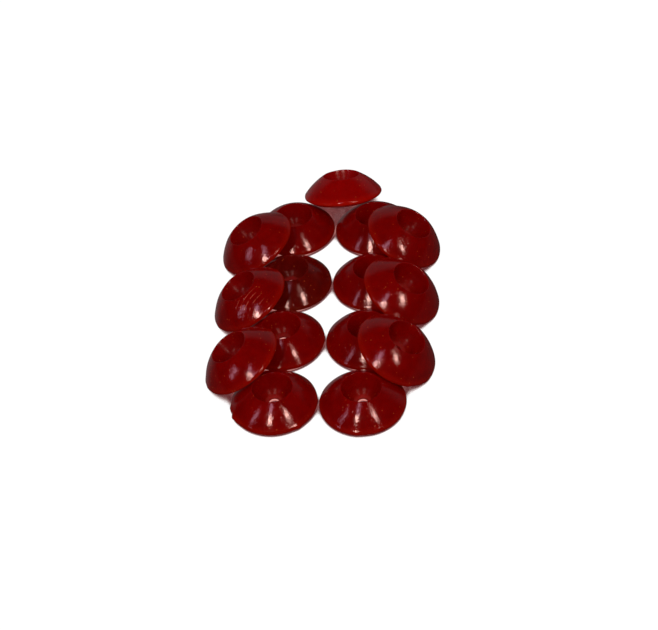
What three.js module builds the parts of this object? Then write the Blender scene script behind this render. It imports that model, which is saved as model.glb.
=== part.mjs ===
// A set of fifteen loose domed friction pads, laid out on a flat surface.
//
// Every pad has the same moulded, turned shape: a dome over a flat base, with a wide funnel
// recess in its crown. A small throat joins the funnel to a hole that flares out to the base.
// Eight pads lie flat, in two columns of four. Seven more lean on them: three along each side and
// one at the back. Each leaner lies over the valley between two flat pads, with its inner side up
// on their domes and its outer edge down on the surface.
//
// Units are millimetres. +Z is up and the surface is z = 0. +X runs to the right along a row, and
// +Y runs to the back along a column. The origin is the middle of the whole layout's footprint.

import * as THREE from 'three';

// One pad
const PAD_RADIUS = 12.5;
const PAD_HEIGHT = 7.6;
const BASE_RADIUS = 10.8;
const RIM_HEIGHT = 1.1;
const SHOULDER_RADIUS = 12.42;
const SHOULDER_HEIGHT = 1.75;
const DOME_BULGE = 0.35;
const RECESS_RADIUS = 5.65;
const FUNNEL_FOOT_RADIUS = 2.6;
const FUNNEL_FOOT_HEIGHT = 2.0;
const THROAT_RADIUS = 1.65;
const THROAT_TOP = 1.5;
const THROAT_FOOT = 1.2;
const HOLE_RADIUS = 3.0;

// How finely the round shapes are divided
const DOME_STEPS = 4;
const TURN_STEPS = 36;

// The eight flat pads. Neighbours in a column stand a small gap apart, and the rearmost row lies
// a little further left than the others.
const ROWS = 4;
const ROW_PITCH = 2 * PAD_RADIUS + 0.3;
const COLUMN_PITCH = 2 * PAD_RADIUS + 0.4;
const REAR_ROW_SHIFT = -1.0;

// The seven leaning pads, each over the valley between two flat ones. X and y place a leaner's
// base centre from the middle of that pair. Its low edge points along heading, in degrees from
// +X, and its base slopes down that way by tilt. The side leaners are listed from the front.
const SIDE_LEANERS = {
  left: [
    { x: -9.8, y: -0.8, heading: 178, tilt: 29 },
    { x: -10.5, y: 0.3, heading: 181, tilt: 27 },
    { x: -10.7, y: 0.9, heading: 186, tilt: 26.5 },
  ],
  right: [
    { x: 8.5, y: 3.0, heading: -6, tilt: 31.5 },
    { x: 8.8, y: 2.9, heading: -6, tilt: 30.5 },
    { x: 8.9, y: 2.5, heading: -2, tilt: 30.5 },
  ],
};
const REAR_LEANER = { x: 1.9, y: 12.8, heading: 98, tilt: 22 };

// The dome's outline from its shoulder up to the mouth of the recess: a straight slope that
// swells outwards by DOME_BULGE at its middle.
function domeOutline() {
  const shoulder = new THREE.Vector2(SHOULDER_RADIUS, SHOULDER_HEIGHT);
  const crown = new THREE.Vector2(RECESS_RADIUS, PAD_HEIGHT);
  const slope = crown.clone().sub(shoulder);
  const outwards = new THREE.Vector2(slope.y, -slope.x).normalize();
  const points = [];
  for (let step = 0; step <= DOME_STEPS; step += 1) {
    const t = step / DOME_STEPS;
    const swell = DOME_BULGE * 4 * t * (1 - t);
    points.push(shoulder.clone().addScaledVector(slope, t).addScaledVector(outwards, swell));
  }
  return points;
}

// Half of the pad's section, as radius and height: out along the base, up the rim and the dome,
// down the funnel, through the throat and out along the flared hole, back to where it began.
function padOutline() {
  const baseInner = new THREE.Vector2(HOLE_RADIUS, 0);
  return [
    baseInner,
    new THREE.Vector2(BASE_RADIUS, 0),
    new THREE.Vector2(PAD_RADIUS, RIM_HEIGHT),
    ...domeOutline(),
    new THREE.Vector2(FUNNEL_FOOT_RADIUS, FUNNEL_FOOT_HEIGHT),
    new THREE.Vector2(THROAT_RADIUS, THROAT_TOP),
    new THREE.Vector2(THROAT_RADIUS, THROAT_FOOT),
    baseInner.clone(),
  ];
}

// A pad with its base centre at the origin and its dome towards +Z.
function makePad(name, outline) {
  const geometry = new THREE.LatheGeometry(outline, TURN_STEPS);
  geometry.rotateX(Math.PI / 2);
  const material = new THREE.MeshStandardMaterial({ color: 0x7c0404, roughness: 0.18, metalness: 0 });
  const pad = new THREE.Mesh(geometry, material);
  pad.name = name;
  return pad;
}

// How high a tilted pad's base centre stands when its lowest edge just touches the surface.
function seatHeight(outline, tilt) {
  const drops = outline.map((point) => point.x * Math.sin(tilt) - point.y * Math.cos(tilt));
  return Math.max(...drops);
}

function addFlatPads(set, outline) {
  const places = {};
  for (let row = 1; row <= ROWS; row += 1) {
    const shift = row === ROWS ? REAR_ROW_SHIFT : 0;
    const y = (row - 1) * ROW_PITCH;
    for (const [side, sign] of [['left', -1], ['right', 1]]) {
      const pad = makePad(`${side}_pad_${row}`, outline);
      pad.position.set(sign * COLUMN_PITCH / 2 + shift, y, 0);
      places[pad.name] = pad.position;
      set.add(pad);
    }
  }
  return places;
}

function addLeaner(set, outline, name, lean, pair) {
  const tilt = THREE.MathUtils.degToRad(lean.tilt);
  const heading = THREE.MathUtils.degToRad(lean.heading);
  const pad = makePad(name, outline);
  pad.position.lerpVectors(pair[0], pair[1], 0.5);
  pad.position.x += lean.x;
  pad.position.y += lean.y;
  pad.position.z = seatHeight(outline, tilt);
  pad.rotation.set(0, tilt, heading, 'ZYX');
  set.add(pad);
}

function addLeaners(set, outline, places) {
  for (const [side, leans] of Object.entries(SIDE_LEANERS)) {
    leans.forEach((lean, index) => {
      const row = index + 1;
      const pair = [places[`${side}_pad_${row}`], places[`${side}_pad_${row + 1}`]];
      addLeaner(set, outline, `${side}_leaner_${row}`, lean, pair);
    });
  }
  const rearPair = [places[`left_pad_${ROWS}`], places[`right_pad_${ROWS}`]];
  addLeaner(set, outline, 'rear_leaner', REAR_LEANER, rearPair);
}

// Moves the finished layout so that the middle of its footprint is the origin.
function centreFootprint(set) {
  const middle = new THREE.Box3().setFromObject(set, true).getCenter(new THREE.Vector3());
  set.position.set(-middle.x, -middle.y, 0);
}

const outline = padOutline();
const padSet = new THREE.Group();
const places = addFlatPads(padSet, outline);
addLeaners(padSet, outline, places);
centreFootprint(padSet);

export default padSet;
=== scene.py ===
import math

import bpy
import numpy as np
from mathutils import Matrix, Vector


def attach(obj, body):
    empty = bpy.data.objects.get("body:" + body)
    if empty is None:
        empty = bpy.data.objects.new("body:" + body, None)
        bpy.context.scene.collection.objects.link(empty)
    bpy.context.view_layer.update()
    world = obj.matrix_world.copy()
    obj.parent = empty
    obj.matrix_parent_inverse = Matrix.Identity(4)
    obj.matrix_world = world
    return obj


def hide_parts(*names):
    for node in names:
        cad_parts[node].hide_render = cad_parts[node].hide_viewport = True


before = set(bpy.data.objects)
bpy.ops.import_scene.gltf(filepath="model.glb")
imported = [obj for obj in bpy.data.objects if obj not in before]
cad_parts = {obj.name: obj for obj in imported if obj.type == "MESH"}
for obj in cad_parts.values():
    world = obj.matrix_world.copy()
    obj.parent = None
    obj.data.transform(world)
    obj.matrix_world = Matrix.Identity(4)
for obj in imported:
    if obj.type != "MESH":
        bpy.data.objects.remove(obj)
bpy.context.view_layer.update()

# Looks for a set of fifteen loose domed pads of dark red, slightly translucent rubber.
#
# Every CAD pad is replaced by a finely turned pad that sits exactly where the CAD pad sits. The
# place and the tilt of each one are read back from its CAD node, so a change of the layout in
# the CAD moves the looks with it. Lengths in the frame are metres; MM turns millimetres into
# them. A pad's own frame has its base centre at the origin and its dome towards +Z. Its +X
# points down the slope of a leaning pad, and to the right on a flat one.

MM = 0.001

# The pad's section in millimetres: radius, height and the fillet that rounds each corner. The
# dome rises from the corner at DOME_START to the mouth and swells outwards by DOME_BULGE.
SECTION = (
    (3.00, 0.00, 0.20),  # edge of the hole in the base
    (10.85, 0.00, 0.40),  # edge of the flat base
    (12.50, 1.00, 0.50),  # rim
    (12.44, 1.95, 1.30),  # shoulder, where the dome starts
    (5.80, 7.68, 0.16),  # mouth of the recess
    (4.95, 5.20, 8.00),
    (3.90, 3.30, 4.00),
    (2.60, 2.00, 0.60),  # foot of the funnel
    (1.50, 1.45, 0.10),  # throat
    (1.50, 1.10, 0.10),
)
DOME_START = 3
DOME_BULGE = 0.36
DOME_POINTS = 24
MOUTH_RADIUS = SECTION[DOME_START + 1][0]
MOUTH_BLEND = 0.3
FILLET_POINTS = 6
EDGE_STEP = 0.6
TURN_STEPS = 176

# How far the moulded surface strays from a true turned one, and over what lengths, in
# millimetres. The stray fades out below WOBBLE_FOOT, so that the flat bases stay flat.
WOBBLE = 0.035
WOBBLE_WAVES = 9
WOBBLE_LENGTHS = (4, 13)
WOBBLE_FOOT = 1.0

# Flash: torn bits of rubber that stand out of the rim. Each is the angle around the pad, the
# angle it spreads over (both in degrees) and how far it stands out in millimetres. That is partly
# even and partly rough, up to a most. It is centred at RIM_MIDDLE above the base.
FLASH = {
    "left_pad_1": ((196, 10, 0.45), (212, 9, 0.60), (308, 4, 0.50), (315, 3, 0.3)),
    "right_pad_1": ((262, 9, 0.2), (288, 6, 0.2)),
    "left_leaner_1": ((20, 12, 0.25),),
    "left_leaner_2": ((35, 8, 0.2),),
    "right_leaner_1": ((291, 6, 0.3), (299, 4, 0.25), (325, 9, 0.2)),
    "right_leaner_2": ((310, 10, 0.2),),
    "rear_leaner": ((205, 7, 0.3),),
}
FLASH_EVEN = 0.55
FLASH_ROUGH = 0.45
FLASH_MOST = 1.4
FLASH_LENGTHS = (1.5, 4)
RIM_MIDDLE = 1.4
RIM_SPREAD = 0.7

# Surface detail is laid out in millimetres in the pad's own frame. Each pad shifts it by this
# much more than the one before, so that no two pads are marked alike.
DETAIL_SHIFT = 60.0

# Reading a pad's place from its CAD node: how deep a face's points may lie, in metres, and how
# upright an axis is that counts as vertical.
FACE_DEPTH = 0.1 * MM
UPRIGHT = 0.999


def add_object(name, data):
    """A new object in the scene."""
    added = bpy.data.objects.new(name, data)
    bpy.context.scene.collection.objects.link(added)
    return added


def fillet(before, corner, after, radius):
    """Points of the arc that rounds a corner of the section."""
    to_before = (before - corner) / np.linalg.norm(before - corner)
    to_after = (after - corner) / np.linalg.norm(after - corner)
    half = math.acos(np.clip(to_before @ to_after, -1, 1)) / 2
    reach = radius / math.tan(half)
    bisector = (to_before + to_after) / np.linalg.norm(to_before + to_after)
    centre = corner + bisector * radius / math.sin(half)
    start = corner + to_before * reach - centre
    end = corner + to_after * reach - centre
    turn = math.atan2(start[0] * end[1] - start[1] * end[0], start @ end)
    points = []
    for step in range(FILLET_POINTS + 1):
        angle = turn * step / FILLET_POINTS
        cos, sin = math.cos(angle), math.sin(angle)
        arm = np.array([cos * start[0] - sin * start[1], sin * start[0] + cos * start[1]])
        points.append(centre + arm)
    return points


def section_points():
    """The whole section as a closed run of (radius, height) points."""
    corners = [np.array(corner[:2]) for corner in SECTION]
    count = len(corners)
    arcs = [
        fillet(corners[i - 1], corners[i], corners[(i + 1) % count], SECTION[i][2])
        for i in range(count)
    ]
    points = []
    for i in range(count):
        points += arcs[i]
        start, end = arcs[i][-1], arcs[(i + 1) % count][0]
        length = np.linalg.norm(end - start)
        outwards = np.array([end[1] - start[1], start[0] - end[0]]) / length
        is_dome = i == DOME_START
        steps = DOME_POINTS if is_dome else max(1, round(length / EDGE_STEP))
        bulge = DOME_BULGE if is_dome else 0.0
        for step in range(1, steps):
            t = step / steps
            points.append(start + (end - start) * t + outwards * bulge * 4 * t * (1 - t))
    return np.array(points)


def smooth_noise(points, seed, waves, lengths):
    """A smooth seeded field, mostly within -1 and 1: a sum of sine waves of the given lengths."""
    random = np.random.default_rng(seed)
    total = np.zeros(len(points))
    for _ in range(waves):
        direction = random.normal(size=3)
        direction *= 2 * math.pi / (random.uniform(*lengths) * np.linalg.norm(direction))
        total += np.sin(points @ direction + random.uniform(0, 2 * math.pi))
    return total / math.sqrt(waves)


def pad_frame(node):
    """The matrix of a CAD pad: its base centre, with +Z along its axis towards the dome.

    The axis is the direction in which the pad's points spread least. The base is the wider of
    the two faces across it.
    """
    points = np.array([vertex.co for vertex in node.data.vertices])
    centre = points.mean(axis=0)
    axis = np.linalg.eigh(np.cov((points - centre).T))[1][:, 0]
    along = (points - centre) @ axis
    radius = np.linalg.norm(points - centre - along[:, None] * axis, axis=1)
    top = radius[along > along.max() - FACE_DEPTH].max()
    bottom = radius[along < along.min() + FACE_DEPTH].max()
    if top > bottom:
        axis, along = -axis, -along
    z = Vector(axis)
    downhill = Vector((0, 0, -1)) if abs(z.z) < UPRIGHT else Vector((1, 0, 0))
    x = (downhill - z * downhill.dot(z)).normalized()
    matrix = Matrix((x, z.cross(x), z)).transposed().to_4x4()
    matrix.translation = Vector(centre + axis * along.min())
    return matrix


def flash_height(name, turns, points, seed):
    """How far the torn rim of a pad stands out at each angle, in millimetres."""
    noise = smooth_noise(points, seed, WOBBLE_WAVES, FLASH_LENGTHS)
    total = np.zeros(len(turns))
    for angle, spread, height in FLASH.get(name, ()):
        away = (np.degrees(turns) - angle + 180) % 360 - 180
        total += height * np.exp(-((away / spread) ** 2))
    return total * np.clip(FLASH_EVEN + FLASH_ROUGH * noise, 0, FLASH_MOST)


def turned_mesh(name, section, seed):
    """A mesh of the section turned about Z, with the slight unevenness of a moulded pad.

    Its point attributes are place, the true turned point in millimetres with the pad's shift,
    height, the section's height in millimetres, and recess, 1 inside the recess and 0 outside.
    """
    turns = np.repeat(np.arange(TURN_STEPS) * 2 * math.pi / TURN_STEPS, len(section))
    radius, height = np.tile(section, (TURN_STEPS, 1)).T
    cos, sin = np.cos(turns), np.sin(turns)
    points = np.stack([cos * radius, sin * radius, height], axis=1)
    tangent = np.roll(section, -1, axis=0) - np.roll(section, 1, axis=0)
    tangent /= np.linalg.norm(tangent, axis=1)[:, None]
    out, up = np.tile(np.stack([tangent[:, 1], -tangent[:, 0]], axis=1), (TURN_STEPS, 1)).T
    normals = np.stack([cos * out, sin * out, up], axis=1)
    place = points + DETAIL_SHIFT * seed
    recess = np.clip((MOUTH_RADIUS - radius) / MOUTH_BLEND, 0, 1) * (height > 0)

    above_foot = np.clip(height / WOBBLE_FOOT, 0, 1)
    wobble = smooth_noise(points, seed, WOBBLE_WAVES, WOBBLE_LENGTHS) * WOBBLE * above_foot
    outside = radius > SECTION[1][0]
    rim = np.exp(-(((height - RIM_MIDDLE) / RIM_SPREAD) ** 2)) * outside
    stray = wobble + rim * flash_height(name, turns, points, seed)
    points = points + normals * stray[:, None]

    count = len(section)
    faces = []
    for turn in range(TURN_STEPS):
        here, there = turn * count, (turn + 1) % TURN_STEPS * count
        for ring in range(count):
            beyond = (ring + 1) % count
            faces.append((here + ring, there + ring, there + beyond, here + beyond))
    mesh = bpy.data.meshes.new(name)
    mesh.from_pydata((points * MM).tolist(), [], faces)
    mesh.shade_smooth()
    layer = mesh.attributes.new("place", "FLOAT_VECTOR", "POINT")
    layer.data.foreach_set("vector", place.ravel())
    for key, values in (("height", height), ("recess", recess)):
        layer = mesh.attributes.new(key, "FLOAT", "POINT")
        layer.data.foreach_set("value", values)
    return mesh


class Nodes:
    """A small helper that adds nodes to a node tree and links them."""

    def __init__(self, tree):
        self.tree = tree

    def put(self, node, key, value):
        """Links an output to a node's input, or sets the input to a plain value."""
        socket = node.inputs[key]
        if isinstance(value, bpy.types.NodeSocket):
            self.tree.links.new(value, socket)
        else:
            socket.default_value = value

    def add(self, kind, settings=None, **inputs):
        node = self.tree.nodes.new("ShaderNode" + kind)
        for key, value in (settings or {}).items():
            setattr(node, key, value)
        for key, value in inputs.items():
            self.put(node, key.replace("_", " "), value)
        return node

    def attribute(self, name, output):
        return self.add("Attribute", {"attribute_name": name}).outputs[output]

    def noise(self, place, per_mm, detail=3.0):
        return self.add("TexNoise", Vector=place, Scale=per_mm, Detail=detail).outputs["Fac"]

    def remap(self, value, edges, results=(0, 1)):
        """A value that runs from the first result to the second between the two edges."""
        node = self.add("MapRange", Value=value)
        sockets = ("From Min", "From Max", "To Min", "To Max")
        for key, number in zip(sockets, (*edges, *results)):
            self.put(node, key, number)
        return node.outputs["Result"]

    def mix(self, fac, first, second):
        return self.add("MixRGB", Fac=fac, Color1=first, Color2=second).outputs["Color"]

    def math(self, operation, first, second):
        node = self.add("Math", {"operation": operation})
        self.put(node, 0, first)
        self.put(node, 1, second)
        return node.outputs["Value"]

    def multiply(self, first, second):
        return self.math("MULTIPLY", first, second)

    def bump(self, height, depth_mm, normal=None):
        node = self.add("Bump", Strength=1.0, Distance=depth_mm * MM, Height=height)
        if normal:
            self.put(node, "Normal", normal)
        return node.outputs["Normal"]

    def add_shaders(self, first, second):
        node = self.add("AddShader")
        self.put(node, 0, first)
        self.put(node, 1, second)
        return node.outputs["Shader"]


# The deep and the bright colour of the pads' rubber. Two pads differ from the rest.
RUBBER = ((0.101, 0.0001, 0.0001), (0.128, 0.0002, 0.0001))
ODD_RUBBER = {
    "left_pad_3": ((0.045, 0.0016, 0.0006), (0.065, 0.0022, 0.0008)),
    "rear_leaner": ((0.165, 0.0003, 0.0002), (0.190, 0.0002, 0.0002)),
}
MOTTLE_SCALE = 0.35
MOTTLE_DETAIL = 5
MOTTLE_EDGES = (0.35, 0.65)

# Painted light: a faint red glow over the whole rubber stands in for light that soaks through it,
# lifting it a little. The thin lower edge is painted redder and more orange down the first pair of
# heights, and the thin web around the throat is painted paler down the second, both as if lit
# through. Heights are in millimetres.
INNER_LIGHT = 0.020
INNER_COLOUR = (1, 0, 0, 1)
GLOW_HEIGHTS = (3.2, 0.4)
GLOW_GAIN = 1.55
GLOW_GREEN = 0.004
WEB_HEIGHTS = (2.1, 1.7)
WEB_GLOW = (0.22, 0.014, 0.012, 1)

# Small marks. The cells are about CELL_SCALE to a millimetre. A speck fills the middle of a
# cell, in some areas only, and a smaller pit sinks in every one.
CELL_SCALE = 0.75
SPECK = (0.30, 0.05, 0.012, 1)
SPECK_EDGES = (0.18, 0.09)
SPECK_AREA_SCALE = 0.5
SPECK_AREA_EDGES = (0.50, 0.58)
SPECK_MOST = 0.8
PIT_EDGES = (0.05, 0.16)
PIT_DEPTH = 0.02

# The gloss. Roughness varies in dull spots and rises in the recess. The reflections are weaker
# down the rim and in the recess. Waves and grain break them up.
DULL_SCALE = 0.9
DULL_DETAIL = 5
DULL_EDGES = (0.4, 0.7)
DULL_RANGE = (0.08, 0.14)
DULL_RECESS = 0.14
SHINE_HEIGHTS = (2.05, 1.5)
SHINE_RANGE = (0.5, 0.10)
SHINE_RECESS = 0.14
WAVE_SCALE = 0.45
WAVE_DETAIL = 1
WAVE_DEPTH = 0.010
GRAIN_SCALE = 2.1
GRAIN_DETAIL = 2
GRAIN_DEPTH = 0.032
REFRACTIVE_INDEX = 1.48
SOAK_WEIGHT = 0.3
SOAK_COLOURS = (1.0, 0.05, 0.03)
SOAK_DEPTH = 2.0 * MM

# Patches of fine broken scratches: the middle in millimetres in the pad's own frame, the
# heading of the scratches in degrees from the pad's +X, and the patch's reach in millimetres.
SCRATCHES = {"left_leaner_2": ((-3.4, 7.4, 5.6), 46, 5.4)}
SCRATCH = (0.34, 0.06, 0.035, 1)
SCRATCH_SCALE = 0.26
SCRATCH_BEND = 2.6
SCRATCH_DETAIL = 3.0
SCRATCH_DETAIL_SCALE = 0.5
SCRATCH_EDGES = (0.88, 0.97)
SCRATCH_GAP_SCALE = 0.8
SCRATCH_GAP_EDGES = (0.43, 0.52)
SCRATCH_FADE = 0.5
SCRATCH_COLOURING = 0.6
SCRATCH_DEPTH = 0.025


def scratch_mask(nodes, middle, heading, reach):
    """Where a patch of scratches lies: 1 on a scratch, 0 off it, and fading out at its reach."""
    place = nodes.add("TexCoord").outputs["Object"]
    place = nodes.add("Mapping", Vector=place, Scale=(1 / MM,) * 3).outputs["Vector"]
    away = nodes.add("VectorMath", {"operation": "DISTANCE"})
    nodes.put(away, 0, place)
    nodes.put(away, 1, middle)
    fade = nodes.remap(away.outputs["Value"], (reach, reach * SCRATCH_FADE))
    turn = (0, 0, math.radians(90 - heading))
    along = nodes.add("Mapping", Vector=place, Rotation=turn).outputs["Vector"]
    lines = nodes.add(
        "TexWave",
        Vector=along,
        Scale=SCRATCH_SCALE,
        Distortion=SCRATCH_BEND,
        Detail=SCRATCH_DETAIL,
        Detail_Scale=SCRATCH_DETAIL_SCALE,
    )
    sharp = nodes.remap(lines.outputs["Fac"], SCRATCH_EDGES)
    broken = nodes.remap(nodes.noise(place, SCRATCH_GAP_SCALE), SCRATCH_GAP_EDGES)
    return nodes.multiply(nodes.multiply(sharp, broken), fade)


def rubber_colour(nodes, place, height, recess, cells, deep, bright):
    mottle = nodes.remap(nodes.noise(place, MOTTLE_SCALE, MOTTLE_DETAIL), MOTTLE_EDGES)
    colour = nodes.mix(mottle, (*deep, 1), (*bright, 1))
    # Painted light: the thin lower edge is painted brighter and more orange, as if lit through.
    glow = (bright[0] * GLOW_GAIN, bright[1] + GLOW_GREEN, bright[2], 1)
    colour = nodes.mix(nodes.remap(height, GLOW_HEIGHTS), colour, glow)
    # Painted light: the thin web around the throat is painted paler, as if lit through.
    web = nodes.multiply(nodes.remap(height, WEB_HEIGHTS), recess)
    colour = nodes.mix(web, colour, WEB_GLOW)
    areas = nodes.noise(place, SPECK_AREA_SCALE)
    areas = nodes.remap(areas, SPECK_AREA_EDGES, (0, SPECK_MOST))
    specks = nodes.multiply(nodes.remap(cells, SPECK_EDGES), areas)
    return nodes.mix(specks, colour, SPECK)


def rubber_roughness(nodes, place, recess):
    dull = nodes.remap(nodes.noise(place, DULL_SCALE, DULL_DETAIL), DULL_EDGES, DULL_RANGE)
    return nodes.math("ADD", dull, nodes.multiply(recess, DULL_RECESS))


def rubber_shine(nodes, height, recess):
    shine = nodes.remap(height, SHINE_HEIGHTS, SHINE_RANGE)
    return nodes.multiply(shine, nodes.remap(recess, (0, 1), (1, SHINE_RECESS)))


def rubber_relief(nodes, place, cells):
    waves = nodes.bump(nodes.noise(place, WAVE_SCALE, WAVE_DETAIL), WAVE_DEPTH)
    grain = nodes.bump(nodes.noise(place, GRAIN_SCALE, GRAIN_DETAIL), GRAIN_DEPTH, waves)
    return nodes.bump(nodes.remap(cells, PIT_EDGES), PIT_DEPTH, grain)


def rubber_material(name, deep, bright, scratches=None):
    """Glossy translucent rubber, mottled between two colours, with pits, specks, dull spots,
    painted glow.
    """
    material = bpy.data.materials.new(name)
    material.use_nodes = True
    nodes = Nodes(material.node_tree)
    place = nodes.attribute("place", "Vector")
    height = nodes.attribute("height", "Fac")
    recess = nodes.attribute("recess", "Fac")
    cells = nodes.add("TexVoronoi", Vector=place, Scale=CELL_SCALE).outputs["Distance"]
    colour = rubber_colour(nodes, place, height, recess, cells, deep, bright)
    relief = rubber_relief(nodes, place, cells)
    if scratches:
        mask = scratch_mask(nodes, *scratches)
        colour = nodes.mix(nodes.multiply(mask, SCRATCH_COLOURING), colour, SCRATCH)
        relief = nodes.bump(mask, -SCRATCH_DEPTH, relief)
    looks = {
        "Base Color": colour,
        "Roughness": rubber_roughness(nodes, place, recess),
        "Specular IOR Level": rubber_shine(nodes, height, recess),
        "Normal": relief,
        "IOR": REFRACTIVE_INDEX,
        "Subsurface Weight": SOAK_WEIGHT,
        "Subsurface Radius": SOAK_COLOURS,
        "Subsurface Scale": SOAK_DEPTH,
        # Painted light: a faint red glow of its own over the whole rubber.
        "Emission Color": INNER_COLOUR,
        "Emission Strength": INNER_LIGHT,
    }
    shader = material.node_tree.nodes["Principled BSDF"]
    for key, value in looks.items():
        nodes.put(shader, key, value)
    return material


def build_pads():
    """Replaces every CAD pad, and returns the middle of the flat pads' base centres."""
    section = section_points()
    common = rubber_material("red_rubber", *RUBBER)
    flat_centres = []
    for seed, (name, node) in enumerate(sorted(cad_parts.items())):
        pad = add_object(name + "_turned", turned_mesh(name, section, seed))
        pad.matrix_world = pad_frame(node)
        rubber = common
        if name in ODD_RUBBER or name in SCRATCHES:
            colours = ODD_RUBBER.get(name, RUBBER)
            rubber = rubber_material(name + "_rubber", *colours, SCRATCHES.get(name))
        pad.data.materials.append(rubber)
        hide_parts(name)
        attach(pad, name)
        if "_pad_" in name:
            flat_centres.append(pad.matrix_world.translation.copy())
    return sum(flat_centres, Vector()) / len(flat_centres)


# The stage. The camera sees the floor as plain white, with shade and light painted into it near
# the pads. The pads reflect a dim one, so that their lower edges stay deep red, but behind them on
# the left it glows brighter in reflections only, which paints a sheen on their left edges.
FLOOR_SIZE = 6.0
FLOOR_DROP = 0.02 * MM
FLOOR_REFLECTED = (0.05, 0.05, 0.05, 1)
SHEEN = 0.14
SHEEN_COLOUR = (1.0, 0.88, 0.92, 1)
SHEEN_BEHIND = (-0.25, -0.6)
SHEEN_LEFT = (0.0, 0.3)

# Painted shade and light on the seen floor: its colour, from where pads shut it in on all sides
# to where it lies open. Right under a pad it is painted pink, as if lit through the red rubber,
# which shows in the hole. Beside a leaning pad it is painted in deep shade.
SHADE_REACH = 9 * MM
SHADE_SAMPLES = 24
SHADE = (
    (0.00, (0.85, 0.36, 0.32)),
    (0.08, (0.75, 0.28, 0.25)),
    (0.16, (0.08, 0.006, 0.012)),
    (0.28, (0.09, 0.007, 0.013)),
    (0.35, (0.26, 0.085, 0.075)),
    (0.43, (1.0, 1.0, 1.0)),
)


def shade_colour(nodes):
    """The seen floor's colour, from how open it lies: painted shade, and painted light under the
    pads.
    """
    settings = {"samples": SHADE_SAMPLES}
    openness = nodes.add("AmbientOcclusion", settings, Distance=SHADE_REACH).outputs["AO"]
    shade = nodes.add("ValToRGB", Fac=openness)
    ramp = shade.color_ramp
    while len(ramp.elements) < len(SHADE):
        ramp.elements.new(1)
    for element, (position, colour) in zip(ramp.elements, SHADE):
        element.position = position
        element.color = (*colour, 1)
    return shade.outputs["Color"]


def floor_sheen(nodes, glossy):
    """A painted sheen: how bright reflections see the floor. Incoming points back along the ray
    that hits it.
    """
    incoming = nodes.add("NewGeometry").outputs["Incoming"]
    parts = nodes.add("SeparateXYZ", Vector=incoming).outputs
    behind = nodes.remap(parts["Y"], SHEEN_BEHIND, (0, SHEEN))
    return nodes.multiply(behind, nodes.remap(parts["X"], SHEEN_LEFT, (0, glossy)))


def build_floor():
    mesh = bpy.data.meshes.new("floor")
    half = FLOOR_SIZE / 2
    corners = [(x * half, y * half, -FLOOR_DROP) for x, y in ((-1, -1), (1, -1), (1, 1), (-1, 1))]
    mesh.from_pydata(corners, [], [(0, 1, 2, 3)])
    floor = add_object("floor", mesh)
    material = bpy.data.materials.new("white_floor")
    material.use_nodes = True
    nodes = Nodes(material.node_tree)
    path = nodes.add("LightPath").outputs
    plain = nodes.add("BsdfDiffuse", Color=FLOOR_REFLECTED).outputs["BSDF"]
    # The seen floor: white, with painted shade and painted light near the pads.
    seen = nodes.add("Emission", Color=shade_colour(nodes), Strength=path["Is Camera Ray"])
    strength = floor_sheen(nodes, path["Is Glossy Ray"])
    # Painted sheen: a glow on the floor that only reflections see, lighting the pads' left edges.
    sheen = nodes.add("Emission", Color=SHEEN_COLOUR, Strength=strength)
    total = nodes.add_shaders(plain, seen.outputs["Emission"])
    total = nodes.add_shaders(total, sheen.outputs["Emission"])
    nodes.put(material.node_tree.nodes["Material Output"], "Surface", total)
    mesh.materials.append(material)


# The lights: name, azimuth, elevation, width and height in degrees as seen from the origin,
# radiance and colour. Azimuth 0 is the front and +90 the right.
WARM = (1.3, 0.75, 0.65)
COOL = (1.2, 0.65, 0.90)
LIGHTS = (
    ("left_window", -55, 36, 3, 22, 6.5, COOL),
    ("middle_window_low", -13, 45, 3, 14, 60, WARM),
    ("middle_window_high", -13, 60, 3, 18, 9.0, COOL),
    ("right_lamp", 43, 45, 2.5, 12, 52, WARM),
    ("right_lamp_ends", 43, 47, 2.5, 32, 9, WARM),
)
LIGHT_DISTANCE = 0.9


def direction(azimuth, elevation):
    """The unit vector from the origin towards an azimuth and an elevation in degrees."""
    a, e = math.radians(azimuth), math.radians(elevation)
    return Vector((math.sin(a) * math.cos(e), -math.cos(a) * math.cos(e), math.sin(e)))


def build_light(name, azimuth, elevation, width, height, radiance, colour):
    """An area light that faces the origin."""
    data = bpy.data.lights.new(name, "AREA")
    data.shape = "RECTANGLE"
    data.size = 2 * LIGHT_DISTANCE * math.tan(math.radians(width / 2))
    data.size_y = 2 * LIGHT_DISTANCE * math.tan(math.radians(height / 2))
    data.energy = radiance * math.pi * data.size * data.size_y
    data.color = colour
    light = add_object(name, data)
    towards = direction(azimuth, elevation)
    light.location = towards * LIGHT_DISTANCE
    light.rotation_euler = (-towards).to_track_quat("-Z", "Y").to_euler()


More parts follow.
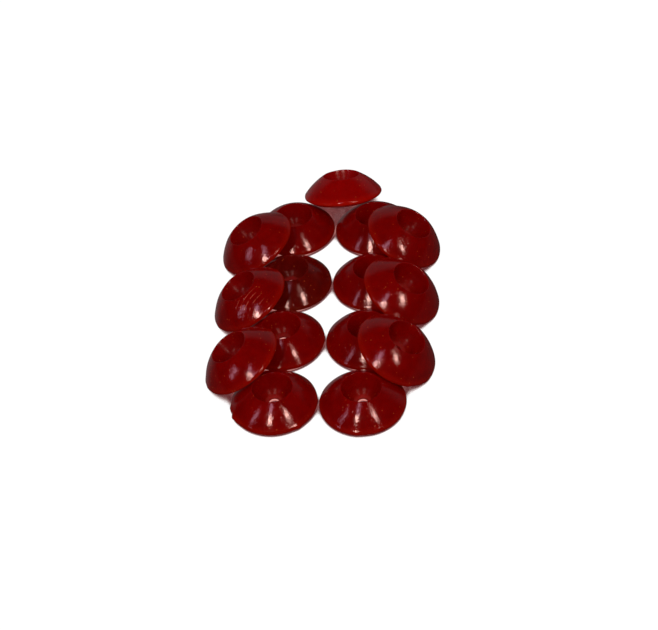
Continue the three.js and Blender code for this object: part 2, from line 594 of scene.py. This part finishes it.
# What surrounds the pads: even light on all sides for their colour, and for their reflections
# a dark room with a dim pale wall behind. By a direction's part along +Y the wall comes up over
# WALL_BEHIND, and by its part along +Z it fades out at its top over WALL_TOP.
AMBIENT = 0.50
WALL = 0.115
WALL_COLOUR = (1.0, 0.93, 1.0, 1)
WALL_BEHIND = (0.35, 0.75)
WALL_TOP = (0.72, 0.5)


def build_world():
    world = bpy.data.worlds.new("studio")
    world.use_nodes = True
    nodes = Nodes(world.node_tree)
    even = world.node_tree.nodes["Background"]
    nodes.put(even, "Color", (1, 1, 1, 1))
    nodes.put(even, "Strength", AMBIENT)
    towards = nodes.add("TexCoord").outputs["Generated"]
    parts = nodes.add("SeparateXYZ", Vector=towards).outputs
    behind = nodes.remap(parts["Y"], WALL_BEHIND, (0, WALL))
    strength = nodes.multiply(behind, nodes.remap(parts["Z"], WALL_TOP))
    wall = nodes.add("Background", Color=WALL_COLOUR, Strength=strength)
    mixed = nodes.add("MixShader", Fac=nodes.add("LightPath").outputs["Is Glossy Ray"])
    nodes.put(mixed, 1, even.outputs["Background"])
    nodes.put(mixed, 2, wall.outputs["Background"])
    nodes.put(world.node_tree.nodes["World Output"], "Surface", mixed.outputs["Shader"])
    bpy.context.scene.world = world


# The camera. It aims near the middle of the flat pads. Angles are in degrees, and its distance
# is in metres.
CAMERA_AZIMUTH = 9.21
CAMERA_ELEVATION = 43.03
CAMERA_ROLL = -6.73
CAMERA_DISTANCE = 0.482
CAMERA_LENS = 87.2
CAMERA_NEAR = 0.01
AIM_FROM_MIDDLE = Vector((0.16 * MM, -0.40 * MM, 0))


def build_camera(middle):
    backwards = direction(CAMERA_AZIMUTH, CAMERA_ELEVATION)
    data = bpy.data.cameras.new("camera")
    data.lens = CAMERA_LENS
    data.clip_start = CAMERA_NEAR
    camera = add_object("camera", data)
    camera.location = middle + AIM_FROM_MIDDLE + backwards * CAMERA_DISTANCE
    roll = Matrix.Rotation(math.radians(CAMERA_ROLL), 3, "Z").to_quaternion()
    camera.rotation_euler = (backwards.to_track_quat("Z", "Y") @ roll).to_euler()
    bpy.context.scene.camera = camera


flats_middle = build_pads()
build_floor()
build_world()
for light in LIGHTS:
    build_light(*light)
build_camera(flats_middle)
bpy.context.scene.view_settings.view_transform = "Standard"
